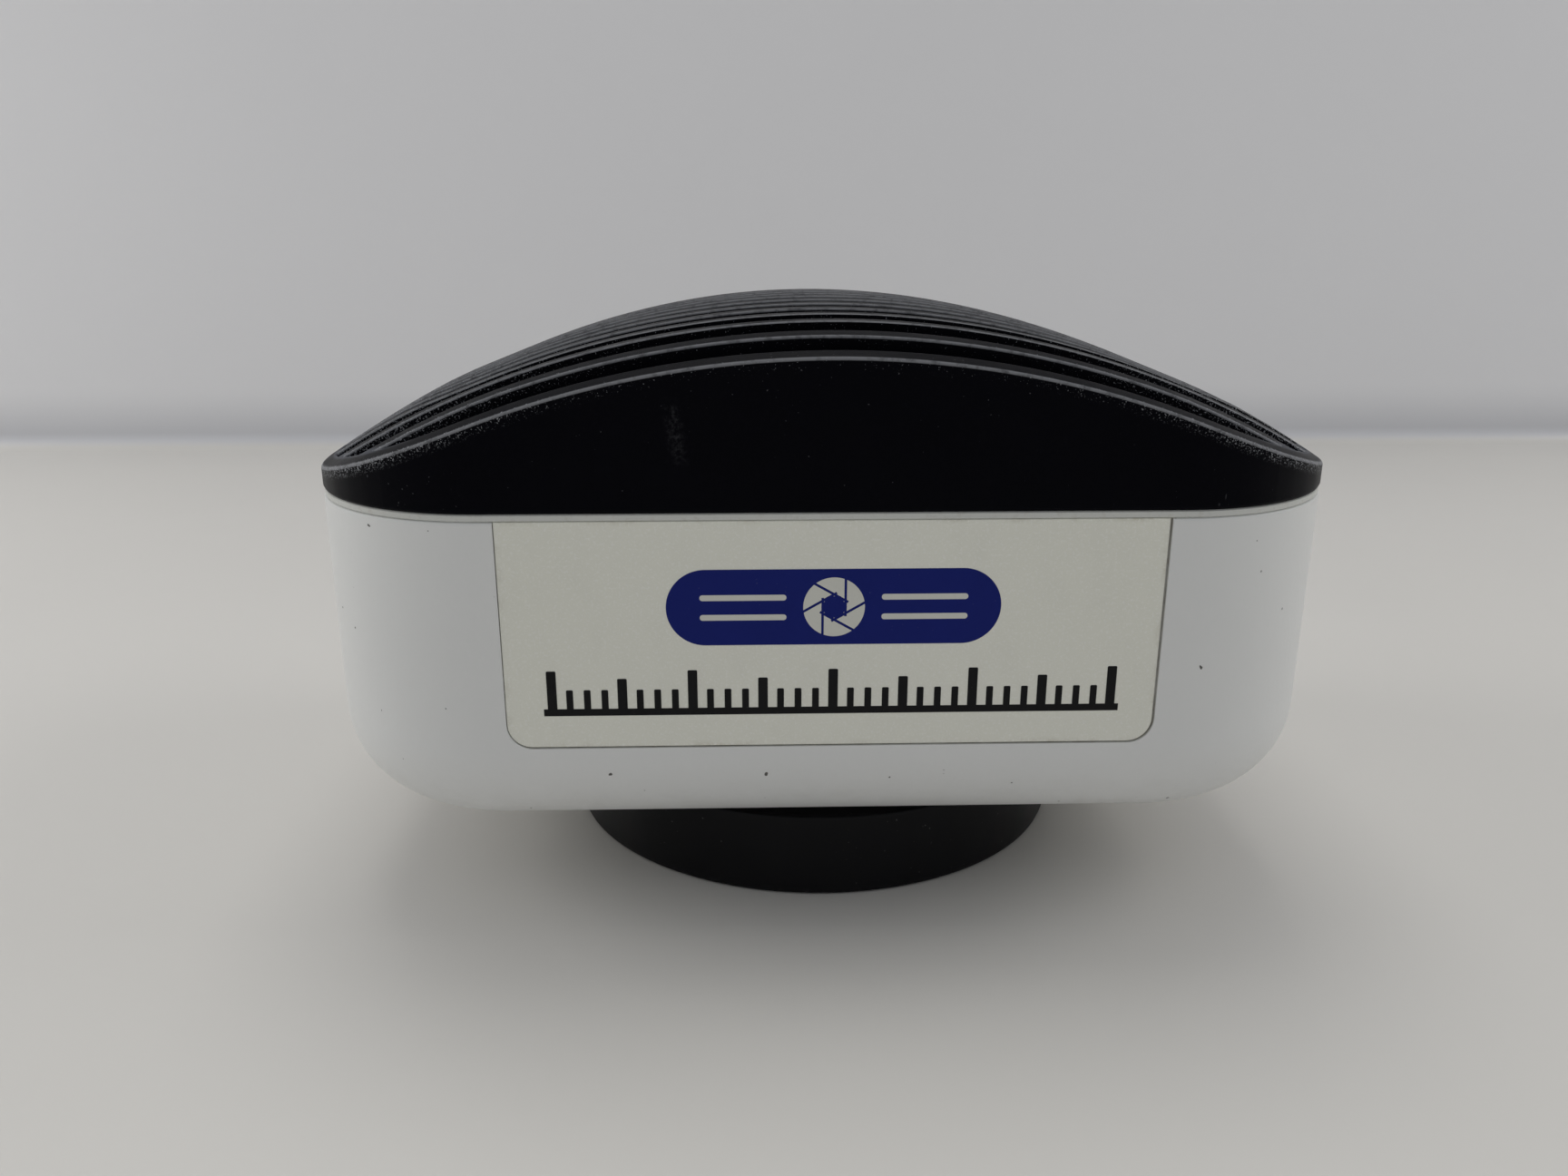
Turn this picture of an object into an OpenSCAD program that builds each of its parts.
// Scientific digital camera with a finned heat sink and an adjustable C-mount nosepiece.
// Millimetres. It stands on the face of its nosepiece: the origin is the centre of that face,
// +Z runs up through the sensor to the heat sink, and the label faces -Y.

/* [Housing] */
// Overall width along X
housing_w = 102; // [90:1:125]
// Overall depth along Y
housing_d = 72; // [66:1:90]
// Radius of the upright corners
corner_r = 19; // [16:0.5:24]
// Height of the shell from its underside to its rim
shell_h = 32.5; // [32:0.5:42]
// Radius round the lower edge of the shell
edge_r = 10; // [6:0.5:10]
// Wall thickness of the shell
wall = 3; // [2.6:0.1:4]
// Thickness of the shell's underside
floor_t = 3.5; // [3.2:0.1:5]
// Thickness of the gasket between the shell and the heat sink
gasket_t = 0.7; // [0.4:0.1:1.5]
// How far the gasket is set back from the outside
gasket_inset = 0.3; // [0:0.1:1]

/* [Heat sink] */
// Height of the heat sink's upright edge at its two ends
sink_edge_h = 2.4; // [1.5:0.1:5]
// Radius of the arch across the width
arch_r = 93; // [85:1:140]
// Half width of the round part of the arch, which runs on straight to the ends
arch_round = 34; // [20:1:42]
// Fall of the crown from the middle to the front and back walls
crown_drop = 1.65; // [0:0.05:4]
// Extra fall of the shoulder all round the edge
shoulder_drop = 1.65; // [0:0.05:3]
// How far in from the edge the shoulder starts
shoulder_len = 9.6; // [4:0.2:16]
// Thickness of a fin and of the wall round the fins
fin_t = 1.6; // [1:0.1:2.4]
// Number of fins, the front and back walls included
fin_count = 16; // [8:1:18]
// Height of the slot floors above the underside of the heat sink
slot_floor = 3.6; // [3.2:0.1:6]
// Side of the square pedestal that takes the heat of the cooler
pedestal_w = 24; // [20:1:27]

/* [Nosepiece] */
// Outer diameter
nosepiece_d = 58.5; // [56:0.5:66]
// Height
nosepiece_h = 9.2; // [8.8:0.1:12]
// Gap to the shell at rest
nose_gap = 0.8; // [0.6:0.1:2]
// Radius of the lens thread, 1 inch across
lens_thread_r = 12.7; // [12.7:0.1:12.7]
// Depth of the lens thread
lens_thread_depth = 4.2; // [3.8:0.1:4.6]
// Radius of the focusing thread on the shell's boss
boss_r = 25; // [22:0.5:25.5]
// Radial clearance of the focusing thread
running_gap = 0.05; // [0.02:0.01:0.1]
// Room left between the boss and the lens plate for screwing in
screw_in_room = 0.8; // [0.6:0.1:1.2]
// Radius of the light seal's section
seal_r = 0.65; // [0.5:0.05:0.7]
// Radius of the nosepiece set screws
set_screw_r = 1.25; // [1:0.05:1.25]
// Number of set screws
set_screw_count = 3; // [2:1:6]

/* [Optics] */
// Distance from the lens flange to the sensor's surface
flange_to_sensor = 17.53; // [17.53:0.01:17.53]
// Radius of the filter glass
window_r = 16; // [15:0.5:18]
// Thickness of the filter glass
window_t = 1.2; // [0.8:0.1:1.5]
// Radius of the clear opening
clear_r = 14; // [13.5:0.1:14.4]
// Sensor package, width and depth and height
ccd_size = [14, 12, 2.5];
// Light-sensitive area of the sensor
die_size = [7.2, 5.4];

/* [Electronics] */
// Thickness of the circuit boards
board_t = 1.6; // [1:0.1:2]
// Sensor board, width and depth
sensor_board = [46, 34];
// Length of the standoffs between the heat sink and the main board
board_standoff = 7.6; // [6:0.1:10]
// Side of the thermoelectric cooler
cooler_w = 20; // [15:1:20]
// Thickness of the thermoelectric cooler
cooler_t = 3.2; // [2.6:0.1:4.2]

/* [Connectors and fasteners] */
// Rear connector panel, width and height and thickness
panel_size = [62, 18, 1.2];
// Height of the data sockets
data_socket_h = 6.6; // [6:0.1:7]
// Width of the data sockets
data_socket_w = 11.6; // [11:0.1:13]
// Radius of the round trigger socket's snout
trigger_r = 5.6; // [5:0.1:6]
// Radius of the housing screws
body_screw_r = 1.5; // [1.5:0.1:2]
// Radius of the small board screws
board_screw_r = 1.25; // [1:0.05:1.25]
// Radius of the tripod thread
tripod_r = 3.175; // [3.175:0.001:3.175]
// Label, width and height and thickness
label_size = [61.4, 22, 0.4];

/* [Hidden] */
$fn = 64;
eps = 0.01;
cut = 1;
fit = 0.1;
screw_fit = 0.05;
face_gap = 0.02;

// Heights from the table up
shell_z = nosepiece_h + nose_gap;
rim_z = shell_z + shell_h;
sink_z = rim_z + gasket_t;
inner_floor_z = shell_z + floor_t;
boss_z = lens_thread_depth + screw_in_room;

// The heat sink's surface, measured up from its underside
arch_slope = arch_round / sqrt(arch_r * arch_r - arch_round * arch_round);
function arch_fall(x) = abs(x) < arch_round
    ? arch_r - sqrt(arch_r * arch_r - x * x)
    : arch_r - sqrt(arch_r * arch_r - arch_round * arch_round) + (abs(x) - arch_round) * arch_slope;
crown_h = sink_edge_h + arch_fall(housing_w / 2) + shoulder_drop;
function corner_x(x) = max(0, abs(x) - (housing_w / 2 - corner_r));
function corner_y(y) = max(0, abs(y) - (housing_d / 2 - corner_r));
function inward(x, y) = corner_x(x) > 0 && corner_y(y) > 0
    ? corner_r - norm([corner_x(x), corner_y(y)])
    : corner_r - max(corner_x(x), corner_y(y));
function shoulder(x, y) = pow(max(0, 1 - max(0, inward(x, y)) / shoulder_len), 1.5);
function surface_z(x, y) = crown_h - arch_fall(x) - crown_drop * pow(2 * y / housing_d, 2)
    - shoulder_drop * shoulder(x, y);
function outline_y(x) = housing_d / 2 - corner_r
    + sqrt(max(0, corner_r * corner_r - pow(corner_x(x), 2)));
function outline_x(y) = housing_w / 2 - corner_r
    + sqrt(max(0, corner_r * corner_r - pow(corner_y(y), 2)));
fin_pitch = (housing_d - fin_t) / (fin_count - 1);
function fin_y(k) = -housing_d / 2 + fin_t / 2 + k * fin_pitch;
base_edge_h = surface_z(housing_w / 2, housing_d / 2 - corner_r);
arch_steps = 40;

// Housing screws stand inside the flat part of the underside
post_r = 4.4;
post_x = housing_w / 2 - corner_r + 3;
post_y = housing_d / 2 - corner_r + 3;
posts = [for (x = [-post_x, post_x], y = [-post_y, post_y]) [x, y]];
head_r = 2 * body_screw_r - 0.1;
head_h = 2.2 * body_screw_r;
tap_depth = 2.6;

// Stack on the optical axis
die_t = 0.5;
glass_t = 0.5;
ccd_z = flange_to_sensor - 0.63;
ccd_top = ccd_z + ccd_size.z;
sensor_board_z = ccd_top + 0.6;
finger_post = [7, 8];
finger_plate_z = sensor_board_z + board_t + 1.9;
finger_plate_t = 1.7;
cooler_z = finger_plate_z + finger_plate_t;
plate_t = 0.8;
pad_t = 0.3;
pedestal_z = cooler_z + cooler_t + pad_t;
window_z = inner_floor_z - 2.3 - window_t;
retainer_h = 1.8;
boss_bore_r = window_r + 1;

// Main board, hung from the heat sink
main_board_top = sink_z - board_standoff;
main_board_z = main_board_top - board_t;
board_clear = 2;
board_w = housing_w - 2 * wall - 2 * board_clear;
board_d = housing_d - 2 * wall - 1.6;
notch_x = post_x - post_r - 0.9;
notch_y = post_y - post_r - 0.9;
standoff_xy = [for (x = [-notch_x + 4, notch_x - 4], y = [-board_d / 2 + 4, board_d / 2 - 4]) [x, y]];
sensor_post = [sensor_board.x / 2 - 3.5, sensor_board.y / 2 - 3.5];
sensor_xy = [for (x = [-sensor_post.x, sensor_post.x], y = [-sensor_post.y, sensor_post.y]) [x, y]];

// Rear panel and what comes through it
panel_z = rim_z - 4 - panel_size.y / 2;
panel_y = housing_d / 2 - panel_size.z;
socket_z = main_board_z - data_socket_h / 2;
data_x = [-16.5, -0.5];
trigger_x = 15.6;
trigger_z = main_board_z - trigger_r - 0.4;
light_x = 24.3;
light_z = main_board_z - 3.2;
light_r = 1.5;
socket_depth = 14.5;
panel_screw_x = panel_size.x / 2 - 3;
panel_screw_r = 1;

// Label seat at the front, open at the rim
label_z = rim_z - label_size.y;
label_corner_r = 2.3;
label_gap = 0.3;
label_sink = 0.1;

// Tripod insert in the right wall, below the main board
tripod_len = 7;
insert_r = 4.5;
insert_boss_r = insert_r + 1.5;
tripod_z = inner_floor_z + max(1, edge_r - wall) + insert_boss_r + 0.3;

// ---------- shared shapes ----------

module rounded_rect(w, d, r) {
    square([w - 2 * r, d], center = true);
    square([w, d - 2 * r], center = true);
    for (x = [-1, 1], y = [-1, 1])
        translate([x * (w / 2 - r), y * (d / 2 - r)]) circle(r = r);
}

// The section of an edge: r deep, h high, its lower outer corner rounded by e
module edge_section(r, e, h) {
    square([r - e, h]);
    translate([0, e]) square([r, h - e]);
    intersection() {
        translate([r - e, e]) circle(r = e);
        translate([r - e, 0]) square(e);
    }
}

// A block with upright corners of radius r and a lower edge of radius e
module rounded_tub(w, d, r, e, h) {
    cx = w / 2 - r;
    cy = d / 2 - r;
    translate([-cx, -cy, 0]) cube([2 * cx, 2 * cy, h]);
    for (a = [0, 180]) rotate([0, 0, a]) {
        translate([cx, cy, 0]) rotate_extrude(angle = 90) edge_section(r, e, h);
        translate([-cx, cy, 0]) rotate([0, 0, 90]) rotate_extrude(angle = 90) edge_section(r, e, h);
        translate([cx, cy, 0]) rotate([90, 0, 0]) linear_extrude(2 * cy) edge_section(r, e, h);
        translate([-cx, cy, 0]) rotate([90, 0, 90]) linear_extrude(2 * cx) edge_section(r, e, h);
    }
}

module ring(r_out, r_in, h) {
    difference() {
        cylinder(r = r_out, h = h);
        translate([0, 0, -cut]) cylinder(r = r_in, h = h + 2 * cut);
    }
}

// A socket head screw that points up, its head's underside at z = 0
module cap_screw(r, length, head_r, head_h) {
    difference() {
        union() {
            translate([0, 0, -eps]) cylinder(r = r, h = length + eps);
            translate([0, 0, -head_h]) cylinder(r = head_r, h = head_h);
        }
        translate([0, 0, -head_h - cut]) cylinder(r = r * 0.9, h = head_h * 0.6 + cut, $fn = 6);
    }
}

module block(size, centre) {
    translate([centre.x - size.x / 2, centre.y - size.y / 2, centre.z]) cube(size);
}

// The label's outline in the X-Z plane, grown by g on three sides and run up by "up"
module label_outline(g, up) {
    w = label_size.x + 2 * g;
    r = label_corner_r;
    translate([-w / 2, label_z - g + r]) square([w, label_size.y + g - r + up]);
    translate([-w / 2 + r, label_z - g]) square([w - 2 * r, r + eps]);
    for (x = [-1, 1]) translate([x * (w / 2 - r), label_z - g + r]) circle(r = r);
}

// ---------- housing ----------

module front_shell() {
    color("whitesmoke") difference() {
        union() {
            difference() {
                translate([0, 0, shell_z])
                    rounded_tub(housing_w, housing_d, corner_r, edge_r, shell_h);
                translate([0, 0, inner_floor_z])
                    rounded_tub(housing_w - 2 * wall, housing_d - 2 * wall, corner_r - wall,
                        max(1, edge_r - wall), shell_h + cut);
            }
            for (p = posts) translate([p.x, p.y, inner_floor_z - 1])
                cylinder(r = post_r, h = rim_z - inner_floor_z + 1 - fit);
            translate([0, 0, boss_z]) cylinder(r = boss_r, h = inner_floor_z - boss_z - eps);
            translate([housing_w / 2 - wall / 2 - tripod_len - 1.5, 0, tripod_z]) rotate([0, 90, 0])
                cylinder(r = insert_boss_r, h = tripod_len + 1.5);
        }
        // nose boss: throat, window seat and light path
        translate([0, 0, boss_z - cut]) cylinder(r = boss_bore_r, h = window_z + window_t - boss_z + cut);
        translate([0, 0, boss_z]) cylinder(r = clear_r, h = shell_h);
        translate([0, 0, window_z + window_t - eps])
            rotate_extrude() translate([window_r - 1.1, 0]) square([1.1, 0.8 + eps]);
        // housing screws
        for (p = posts) {
            translate([p.x, p.y, shell_z - cut]) cylinder(r = body_screw_r + 0.2, h = shell_h + 2 * cut);
            translate([p.x, p.y, shell_z - cut]) cylinder(r = head_r + 0.3, h = head_h + 0.3 + cut);
        }
        // label seat
        translate([0, -housing_d / 2 + label_size.z + label_sink, 0]) rotate([90, 0, 0])
            linear_extrude(label_size.z + label_sink + cut) label_outline(label_gap, cut);
        // rear panel seat and the openings behind it
        block([panel_size.x + 2 * fit, panel_size.z + cut, panel_size.y + 2 * fit],
            [0, panel_y + (panel_size.z + cut) / 2, panel_z - panel_size.y / 2 - fit]);
        for (x = data_x) socket_cut(x, 0.5);
        round_cut(trigger_x, trigger_z, trigger_r + 0.5);
        round_cut(light_x, light_z, light_r + 0.3);
        for (s = [-1, 1]) round_cut(s * panel_screw_x, panel_z, panel_screw_r + screw_fit);
        // tripod insert
        translate([housing_w / 2 - tripod_len, 0, tripod_z]) rotate([0, 90, 0])
            cylinder(r = insert_r + face_gap, h = tripod_len + cut);
    }
}

// Openings through the rear wall, grown by g
module socket_cut(x, g) {
    block([data_socket_w + 2 * g, wall + 4, data_socket_h + 2 * g],
        [x, housing_d / 2 - wall / 2, socket_z - data_socket_h / 2 - g]);
}

module round_cut(x, z, r) {
    translate([x, housing_d / 2 - wall - 2, z]) rotate([-90, 0, 0]) cylinder(r = r, h = wall + 4);
}

module body_gasket() {
    inset = gasket_inset;
    color("slategray") translate([0, 0, rim_z]) linear_extrude(gasket_t) difference() {
        rounded_rect(housing_w - 2 * inset, housing_d - 2 * inset, corner_r - inset);
        rounded_rect(housing_w - 2 * wall, housing_d - 2 * wall, corner_r - wall);
    }
}

module label_plate() {
    color("linen") translate([0, -housing_d / 2 + label_sink + label_size.z, 0]) rotate([90, 0, 0])
        linear_extrude(label_size.z) label_outline(0, 0);
}

// ---------- heat sink ----------

// One fin's outline in the X-Z plane, from its foot to the curved surface at depth y
module fin_outline(y, half_w) {
    polygon(concat([[half_w, 0], [-half_w, 0]],
        [for (i = [0:arch_steps]) let (x = -half_w + 2 * half_w * i / arch_steps)
            [x, surface_z(x, y)]]));
}

// The wall's outline follows the surface along the edge of the plan
module wall_outline() {
    half_w = housing_w / 2;
    polygon(concat([[half_w, 0], [-half_w, 0]],
        [for (i = [0:arch_steps]) let (x = -half_w + 2 * half_w * i / arch_steps)
            [x, surface_z(x, outline_y(x))]]));
}

module heat_sink() {
    color("#17171a") difference() {
        union() {
            translate([0, 0, sink_z]) {
                linear_extrude(base_edge_h) rounded_rect(housing_w, housing_d, corner_r);
                linear_extrude(slot_floor)
                    rounded_rect(housing_w - 2 * fin_t, housing_d - 2 * fin_t, corner_r - fin_t);
                intersection() {
                    translate([0, 0, base_edge_h / 2]) linear_extrude(crown_h)
                        rounded_rect(housing_w, housing_d, corner_r);
                    union() {
                        for (k = [1:fin_count - 2])
                            translate([0, fin_y(k) + fin_t / 2, 0]) rotate([90, 0, 0])
                                linear_extrude(fin_t)
                                    fin_outline(fin_y(k), outline_x(abs(fin_y(k)) - fin_t / 2));
                        difference() {
                            translate([0, housing_d / 2 + cut, 0]) rotate([90, 0, 0])
                                linear_extrude(housing_d + 2 * cut) wall_outline();
                            translate([0, 0, -cut]) linear_extrude(crown_h + 2 * cut)
                                rounded_rect(housing_w - 2 * fin_t, housing_d - 2 * fin_t,
                                    corner_r - fin_t);
                        }
                    }
                }
            }
            block([pedestal_w, pedestal_w, sink_z - pedestal_z + 1], [0, 0, pedestal_z]);
        }
        for (p = posts) translate([p.x, p.y, sink_z - cut])
            cylinder(r = body_screw_r + screw_fit, h = tap_depth + cut);
        for (p = standoff_xy) translate([p.x, p.y, sink_z - cut])
            cylinder(r = board_screw_r + screw_fit, h = tap_depth + cut);
    }
}

// ---------- nosepiece ----------

seal_z = nosepiece_h - 1.2;
set_screw_z = boss_z + set_screw_r - 0.4;
seal_mid_r = boss_r + running_gap + 0.05 + seal_r;

module nosepiece() {
    color("#1b1b1d") difference() {
        rotate_extrude() polygon([
            [lens_thread_r, 0], [nosepiece_d / 2 - 0.6, 0], [nosepiece_d / 2, 0.6],
            [nosepiece_d / 2, nosepiece_h - 0.4], [nosepiece_d / 2 - 0.4, nosepiece_h],
            [boss_r + running_gap, nosepiece_h],
            [boss_r + running_gap, seal_z + seal_r + fit],
            [seal_mid_r + seal_r + fit, seal_z + seal_r + fit],
            [seal_mid_r + seal_r + fit, seal_z - seal_r - fit],
            [boss_r + running_gap, seal_z - seal_r - fit],
            [boss_r + running_gap, lens_thread_depth], [lens_thread_r, lens_thread_depth]
        ]);
        for (i = [0:set_screw_count - 1]) rotate([0, 0, 90 + i * 360 / set_screw_count])
            translate([boss_r - cut, 0, set_screw_z]) rotate([0, 90, 0])
                cylinder(r = set_screw_r + face_gap, h = nosepiece_d);
    }
}

module nose_set_screws() {
    start = boss_r + 0.3;
    length = nosepiece_d / 2 - start - 0.4;
    color("dimgray") for (i = [0:set_screw_count - 1]) rotate([0, 0, 90 + i * 360 / set_screw_count])
        translate([start, 0, set_screw_z]) rotate([0, 90, 0]) difference() {
            cylinder(r = set_screw_r, h = length);
            translate([0, 0, length - 1.5]) cylinder(r = set_screw_r * 0.55, h = 1.5 + cut, $fn = 6);
        }
}

module nose_light_seal() {
    color("#101010") translate([0, 0, seal_z]) rotate_extrude()
        translate([seal_mid_r, 0]) circle(r = seal_r);
}

// ---------- window ----------

module window_glass() {
    color("lightblue", 0.5) translate([0, 0, window_z]) cylinder(r = window_r, h = window_t - face_gap);
}

module window_retainer() {
    color("#202022") translate([0, 0, window_z - retainer_h]) difference() {
        cylinder(r = boss_bore_r - screw_fit, h = retainer_h);
        translate([0, 0, -cut]) cylinder(r = clear_r, h = retainer_h + 2 * cut);
        for (a = [0, 180]) rotate([0, 0, a]) block([1.4, 2, 0.8 + cut], [0, boss_bore_r - 1.6, -cut]);
    }
}

module window_seal() {
    color("#101010") translate([0, 0, window_z + window_t])
        ring(window_r - 0.15, window_r - 0.95, 0.7);
}

// ---------- sensor ----------

module ccd_package() {
    color("lightgray") difference() {
        block(ccd_size, [0, 0, ccd_z]);
        block([ccd_size.x - 3, ccd_size.y - 3, 0.63 + die_t + cut], [0, 0, ccd_z - cut]);
    }
}

module ccd_cover_glass() {
    color("lightblue", 0.4) block([ccd_size.x - 1, ccd_size.y - 1, glass_t], [0, 0, ccd_z - glass_t]);
}

module ccd_die() {
    color("#3c4a63") block([die_size.x + 1, die_size.y + 1, die_t], [0, 0, flange_to_sensor]);
}

module ccd_pins() {
    pitch = 1.2;
    count = 10;
    color("silver") for (side = [-1, 1], i = [0:count - 1])
        block([0.5, 0.3, sensor_board_z + board_t + 0.6 - ccd_top],
            [(i - (count - 1) / 2) * pitch, side * (ccd_size.y / 2 - 0.8), ccd_top]);
}

module sensor_board() {
    color("darkgreen") difference() {
        block([sensor_board.x, sensor_board.y, board_t], [0, 0, sensor_board_z]);
        block([finger_post.x + 1, finger_post.y + 0.8, board_t + 2 * cut], [0, 0, sensor_board_z - cut]);
        for (p = sensor_xy) translate([p.x, p.y, sensor_board_z - cut])
            cylinder(r = board_screw_r + 0.2, h = board_t + 2 * cut);
        for (side = [-1, 1]) block([13, 0.7, board_t + 2 * cut],
            [0, side * (ccd_size.y / 2 - 0.8), sensor_board_z - cut]);
    }
}

module sensor_standoffs() {
    color("goldenrod") for (p = sensor_xy) translate([p.x, p.y, inner_floor_z]) difference() {
        cylinder(r = 2.6, h = sensor_board_z - inner_floor_z, $fn = 6);
        translate([0, 0, 1]) cylinder(r = board_screw_r + screw_fit, h = 20);
    }
}

module sensor_board_screws() {
    color("silver") for (p = sensor_xy)
        translate([p.x, p.y, sensor_board_z + board_t]) rotate([180, 0, 0])
            cap_screw(board_screw_r, board_t + 3.5, 2.2, 1.4);
}

// ---------- cooler ----------

module cold_finger() {
    color("peru") {
        block([finger_post.x, finger_post.y, finger_plate_z - ccd_top + eps], [0, 0, ccd_top]);
        block([cooler_w, cooler_w, finger_plate_t], [0, 0, finger_plate_z]);
    }
}

module cooler_cold_plate() {
    color("white") block([cooler_w, cooler_w, plate_t], [0, 0, cooler_z]);
}

module cooler_pellets() {
    n = 7;
    step = (cooler_w - 2) / n;
    color("gray") for (i = [0:n - 1], j = [0:n - 1])
        block([step * 0.55, step * 0.55, cooler_t - 2 * plate_t],
            [(i - (n - 1) / 2) * step, (j - (n - 1) / 2) * step, cooler_z + plate_t]);
}

module cooler_hot_plate() {
    color("white") block([cooler_w, cooler_w, plate_t], [0, 0, cooler_z + cooler_t - plate_t]);
}

module thermal_pad() {
    color("lightgray") block([cooler_w + 1, cooler_w + 1, pad_t], [0, 0, cooler_z + cooler_t]);
}

module insulation_foam() {
    foam_z = sensor_board_z + board_t + 1;
    color("#3a3a3a") difference() {
        block([cooler_w + 10, sensor_board.y - 10, pedestal_z - foam_z - 0.4], [0, 0, foam_z]);
        block([cooler_w + 1.6, cooler_w + 1.6, shell_h], [0, 0, foam_z - cut]);
    }
}

// ---------- electronics ----------

flex_x = -sensor_board.x / 2 + 4;
flex_w = 10;
flex_t = 0.3;
flex_socket = [4, flex_w + 3, 2];
flex_low = sensor_board_z + board_t + flex_socket.z;
flex_high = main_board_z - flex_socket.z;

module sensor_flex_socket() {
    color("ivory") block(flex_socket, [flex_x, 0, sensor_board_z + board_t]);
}

module main_flex_socket() {
    color("ivory") block(flex_socket, [flex_x, 0, flex_high]);
}

module flex_cable() {
    bulge = 3;
    steps = 12;
    rise = flex_high - flex_low;
    path = [for (i = [0:steps]) [flex_x - bulge * sin(180 * i / steps), flex_low + rise * i / steps]];
    color("orange") translate([0, flex_w / 2, 0]) rotate([90, 0, 0]) linear_extrude(flex_w)
        polygon(concat([for (p = path) [p.x - flex_t / 2, p.y]],
            [for (i = [steps:-1:0]) [path[i].x + flex_t / 2, path[i].y]]));
}

module main_board() {
    color("darkgreen") difference() {
        union() {
            block([board_w, 2 * notch_y, board_t], [0, 0, main_board_z]);
            block([2 * notch_x, board_d, board_t], [0, 0, main_board_z]);
        }
        block([pedestal_w + 3, pedestal_w + 3, board_t + 2 * cut], [0, 0, main_board_z - cut]);
        for (p = standoff_xy) translate([p.x, p.y, main_board_z - cut])
            cylinder(r = board_screw_r + 0.2, h = board_t + 2 * cut);
    }
}

module main_board_standoffs() {
    color("goldenrod") for (p = standoff_xy) translate([p.x, p.y, main_board_top]) difference() {
        union() {
            cylinder(r = 2.6, h = board_standoff, $fn = 6);
            cylinder(r = board_screw_r, h = board_standoff + tap_depth - 0.4);
        }
        translate([0, 0, -cut]) cylinder(r = board_screw_r + screw_fit, h = 4.5 + cut, $fn = 32);
    }
}

module main_board_screws() {
    color("silver") for (p = standoff_xy) translate([p.x, p.y, main_board_z])
        cap_screw(board_screw_r, board_t + 4, 2.2, 1.4);
}

chip_x = board_w / 2 - 12;

module logic_chip() {
    color("#222222") block([17, 17, 2.2], [-chip_x, 0, main_board_top]);
}

module memory_chips() {
    color("#222222") for (y = [-8, 8]) block([18, 8, 1.2], [chip_x, y, main_board_top]);
}

module interface_chip() {
    color("#222222") block([12, 12, 1.4], [-8, board_d / 2 - 9, main_board_top]);
}

module power_coils() {
    color("#444444") for (x = [-9, 9])
        translate([x, -board_d / 2 + 8, main_board_top]) cylinder(r = 4.5, h = 4.5);
}

module capacitors() {
    color("silver") for (x = [-18, 18], y = [-6, 6]) translate([x, y, main_board_top])
        cylinder(r = 2.4, h = 5.4);
}

module oscillator() {
    color("gainsboro") block([7, 5, 1.6], [10, board_d / 2 - 9, main_board_top]);
}

// ---------- connectors ----------

module data_sockets() {
    color("silver") for (x = data_x) difference() {
        block([data_socket_w, socket_depth, data_socket_h],
            [x, housing_d / 2 - socket_depth / 2, socket_z - data_socket_h / 2]);
        block([data_socket_w - 1, socket_depth - 1.5 + cut, data_socket_h - 1],
            [x, housing_d / 2 - (socket_depth - 1.5 - cut) / 2, socket_z - data_socket_h / 2 + 0.5]);
    }
}

module data_socket_tongues() {
    color("#151515") for (x = data_x)
        block([7.2, socket_depth - 1.5 - 1.2, 2.4],
            [x, housing_d / 2 - 1.2 - (socket_depth - 1.5 - 1.2) / 2, socket_z - 1.2]);
}

module trigger_socket() {
    color("#151515") difference() {
        union() {
            block([2 * trigger_r + 2, 9, trigger_r + 0.4 + trigger_r + 0.6],
                [trigger_x, housing_d / 2 - wall - 0.6 - 4.5, trigger_z - trigger_r - 0.6]);
            translate([trigger_x, housing_d / 2 - wall - 5, trigger_z]) rotate([-90, 0, 0])
                cylinder(r = trigger_r, h = wall + 5);
        }
        translate([trigger_x, housing_d / 2 - 8, trigger_z]) rotate([-90, 0, 0])
            cylinder(r = trigger_r - 1, h = 8 + cut);
    }
}

module trigger_pins() {
    color("gold") for (i = [0:6]) translate([trigger_x, housing_d / 2 - 8, trigger_z])
        rotate([0, i * 45 + 45, 0]) translate([0, 0, 2.6]) rotate([-90, 0, 0]) cylinder(r = 0.45, h = 6);
}

module status_led() {
    color("white") block([2.4, 2, 2.4], [light_x, housing_d / 2 - wall - 6, light_z - 1.2]);
}

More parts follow.
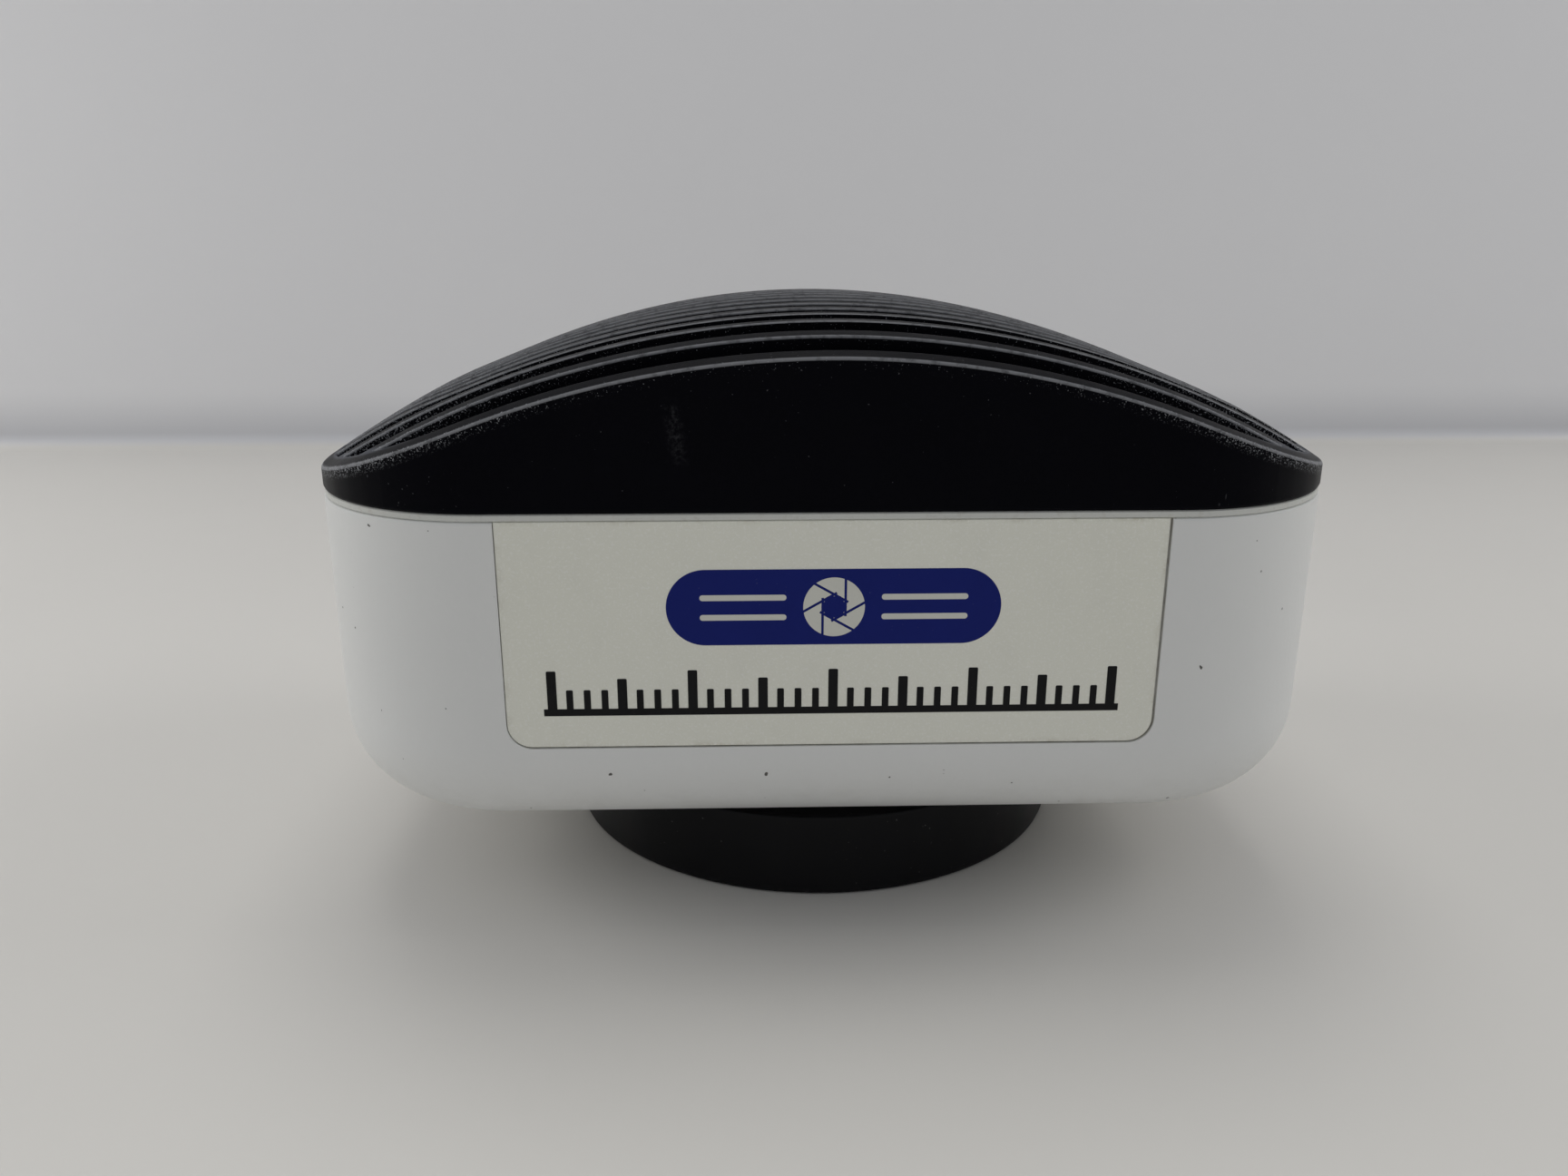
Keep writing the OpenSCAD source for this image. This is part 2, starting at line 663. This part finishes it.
module status_light() {
    color("palegreen") translate([light_x, housing_d / 2 - wall - 4.8, light_z]) rotate([-90, 0, 0])
        cylinder(r = light_r, h = wall + 4.8);
}

module connector_panel() {
    color("#1c1c1e") difference() {
        block([panel_size.x, panel_size.z, panel_size.y],
            [0, panel_y + panel_size.z / 2, panel_z - panel_size.y / 2]);
        for (x = data_x) socket_cut(x, 0.15);
        round_cut(trigger_x, trigger_z, trigger_r + 0.15);
        round_cut(light_x, light_z, light_r + screw_fit);
        for (s = [-1, 1]) {
            round_cut(s * panel_screw_x, panel_z, panel_screw_r + screw_fit);
            translate([s * panel_screw_x, housing_d / 2 - 0.7, panel_z]) rotate([-90, 0, 0])
                cylinder(r = 2 * panel_screw_r, h = 0.7 + cut);
        }
    }
}

module panel_screws() {
    color("dimgray") for (s = [-1, 1])
        translate([s * panel_screw_x, housing_d / 2 - 0.7 + face_gap, panel_z]) rotate([90, 0, 0])
            cap_screw(panel_screw_r, wall - 0.9, 1.9 * panel_screw_r, 0.6);
}

// ---------- fasteners ----------

module tripod_insert() {
    color("silver") translate([housing_w / 2 - tripod_len, 0, tripod_z]) rotate([0, 90, 0])
        ring(insert_r, tripod_r, tripod_len);
}

module body_screws() {
    color("dimgray") for (p = posts) translate([p.x, p.y, shell_z + head_h + 0.3])
        cap_screw(body_screw_r, sink_z - shell_z - head_h - 0.3 + tap_depth - 0.4, head_r, head_h);
}

front_shell();
heat_sink();
body_gasket();
label_plate();
nosepiece();
nose_set_screws();
nose_light_seal();
window_glass();
window_retainer();
window_seal();
ccd_package();
ccd_cover_glass();
ccd_die();
ccd_pins();
sensor_board();
sensor_standoffs();
sensor_board_screws();
cold_finger();
cooler_cold_plate();
cooler_pellets();
cooler_hot_plate();
thermal_pad();
insulation_foam();
flex_cable();
sensor_flex_socket();
main_flex_socket();
main_board();
main_board_standoffs();
main_board_screws();
logic_chip();
memory_chips();
interface_chip();
power_coils();
capacitors();
oscillator();
data_sockets();
data_socket_tongues();
trigger_socket();
trigger_pins();
status_light();
status_led();
connector_panel();
panel_screws();
tripod_insert();
body_screws();
